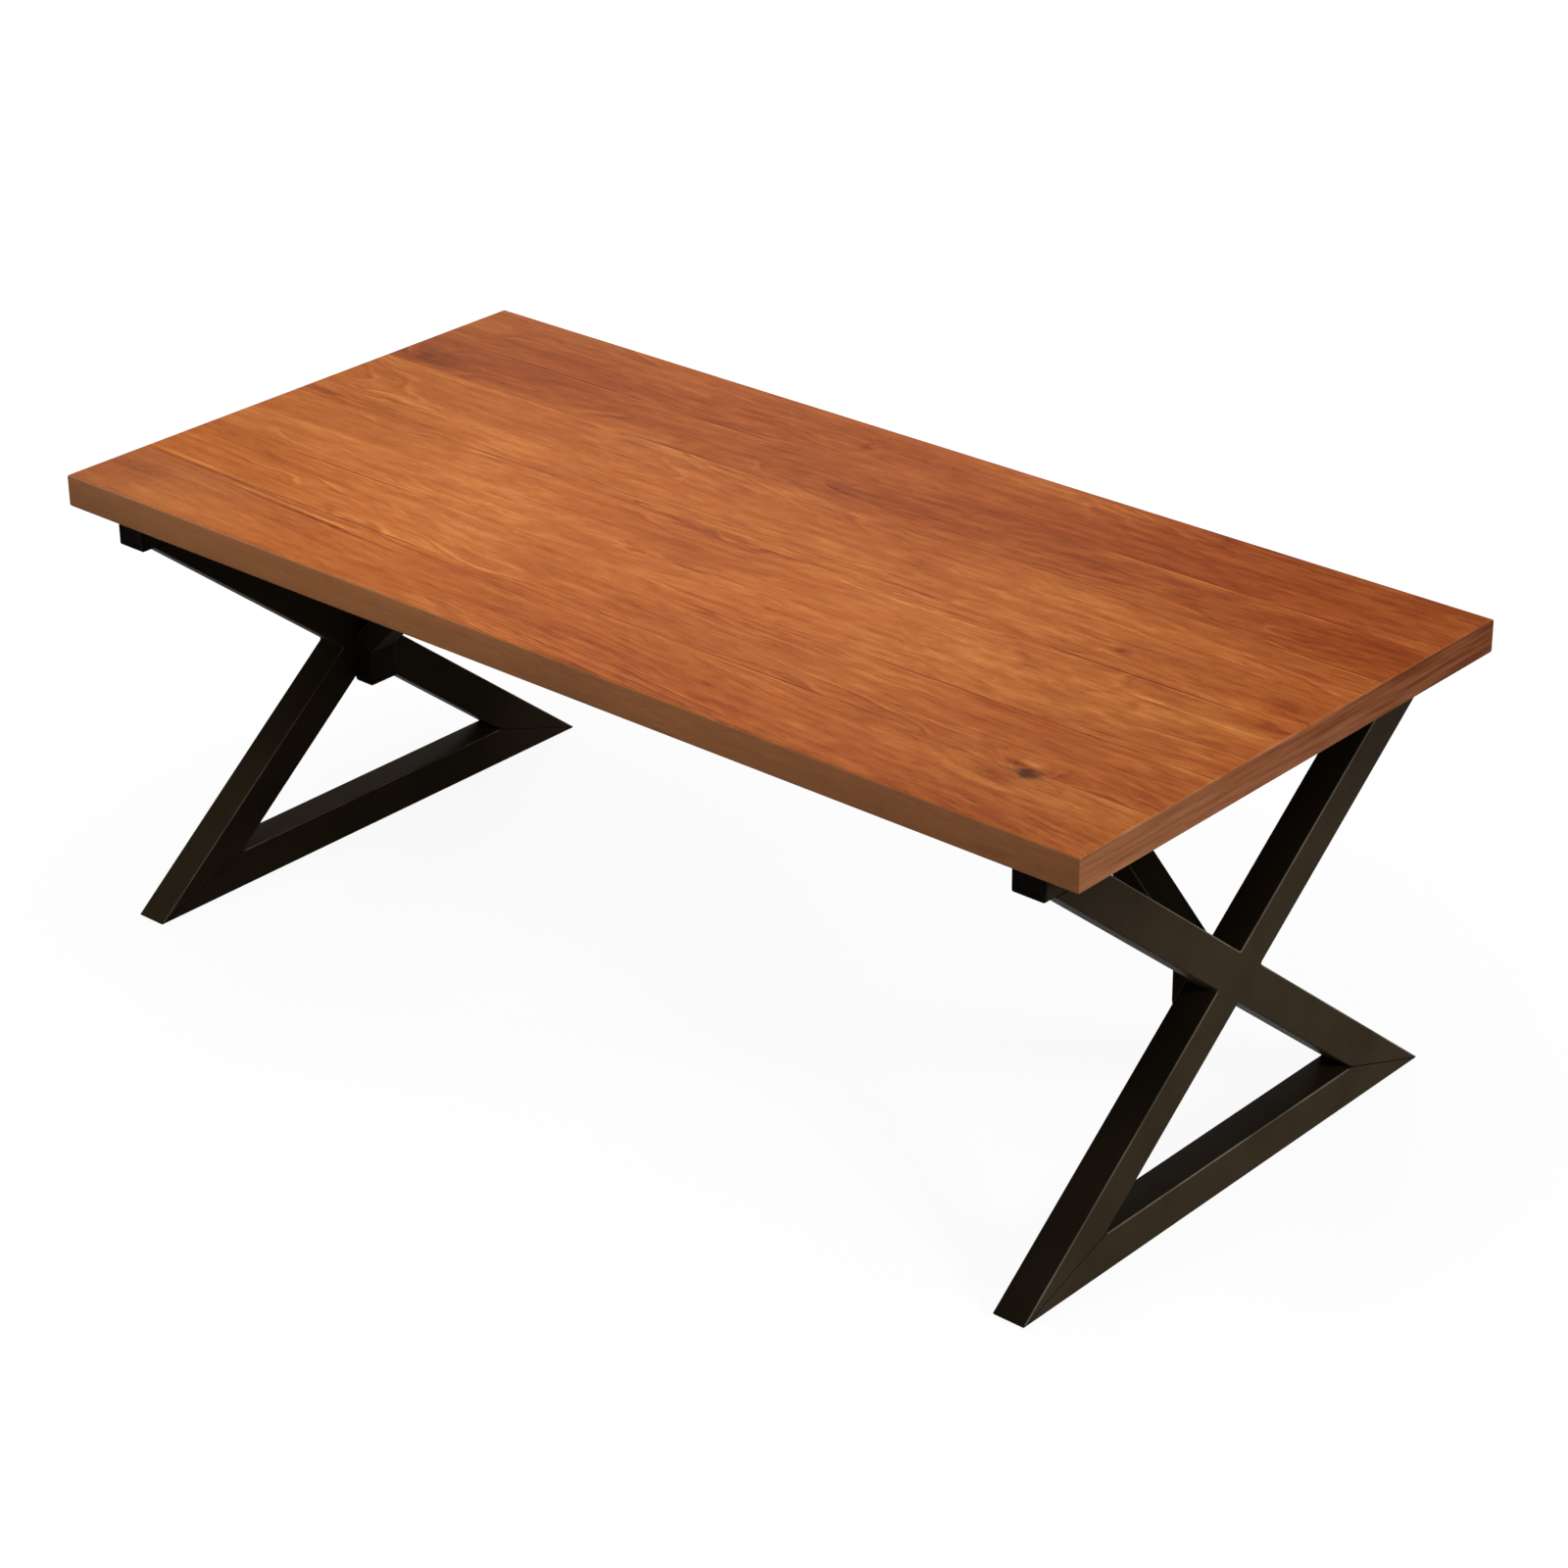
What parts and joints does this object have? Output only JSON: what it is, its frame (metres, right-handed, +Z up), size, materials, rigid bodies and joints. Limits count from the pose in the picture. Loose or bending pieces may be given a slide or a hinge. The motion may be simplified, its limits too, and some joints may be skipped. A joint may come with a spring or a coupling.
{
  "type": "dining table",
  "caption": "Long dining table with a thick plank top on crossed-leg end frames of dark box section, each braced to the top.",
  "frame": {"origin": "on the floor, under the middle of the table", "axes": "+X along the length of the top, +Y across it towards the back, +Z up"},
  "size_m": [2, 0.97, 0.76],
  "materials": {
    "wood_top": "red-brown stained planks under satin lacquer",
    "frame_paint": "brown-black satin powder coat",
    "cap_plastic": "black moulded plastic",
    "pad_rubber": "black sheet rubber",
    "zinc_steel": "zinc-plated",
    "insert_brass": "turned"
  },
  "bodies": {
    "root": {"top_board_1": "wood_top", "top_board_2": "wood_top", "top_board_3": "wood_top", "top_board_4": "wood_top", "top_board_5": "wood_top", "top_board_6": "wood_top", "left_rail": "frame_paint", "left_through_leg": "frame_paint", "left_lower_half_leg": "frame_paint", "left_upper_half_leg": "frame_paint", "left_floor_bar": "frame_paint", "left_brace_shoe": "frame_paint", "left_brace": "frame_paint", "left_brace_plate": "frame_paint", "left_rail_cap_front": "cap_plastic", "left_rail_cap_back": "cap_plastic", "left_shoe_cap": "cap_plastic", "left_floor_pad_front": "pad_rubber", "left_floor_pad_back": "pad_rubber", "left_rail_bolt_1": "zinc_steel", "left_rail_bolt_2": "zinc_steel", "left_rail_bolt_3": "zinc_steel", "left_rail_bolt_4": "zinc_steel", "left_insert_1": "insert_brass", "left_insert_2": "insert_brass", "left_insert_3": "insert_brass", "left_insert_4": "insert_brass", "left_plate_screw_1": "zinc_steel", "left_plate_screw_2": "zinc_steel", "left_plate_screw_3": "zinc_steel", "left_plate_screw_4": "zinc_steel", "right_rail": "frame_paint", "right_through_leg": "frame_paint", "right_lower_half_leg": "frame_paint", "right_upper_half_leg": "frame_paint", "right_floor_bar": "frame_paint", "right_brace_shoe": "frame_paint", "right_brace": "frame_paint", "right_brace_plate": "frame_paint", "right_rail_cap_front": "cap_plastic", "right_rail_cap_back": "cap_plastic", "right_shoe_cap": "cap_plastic", "right_floor_pad_front": "pad_rubber", "right_floor_pad_back": "pad_rubber", "right_rail_bolt_1": "zinc_steel", "right_rail_bolt_2": "zinc_steel", "right_rail_bolt_3": "zinc_steel", "right_rail_bolt_4": "zinc_steel", "right_insert_1": "insert_brass", "right_insert_2": "insert_brass", "right_insert_3": "insert_brass", "right_insert_4": "insert_brass", "right_plate_screw_1": "zinc_steel", "right_plate_screw_2": "zinc_steel", "right_plate_screw_3": "zinc_steel", "right_plate_screw_4": "zinc_steel"}
  },
  "joints": []
}
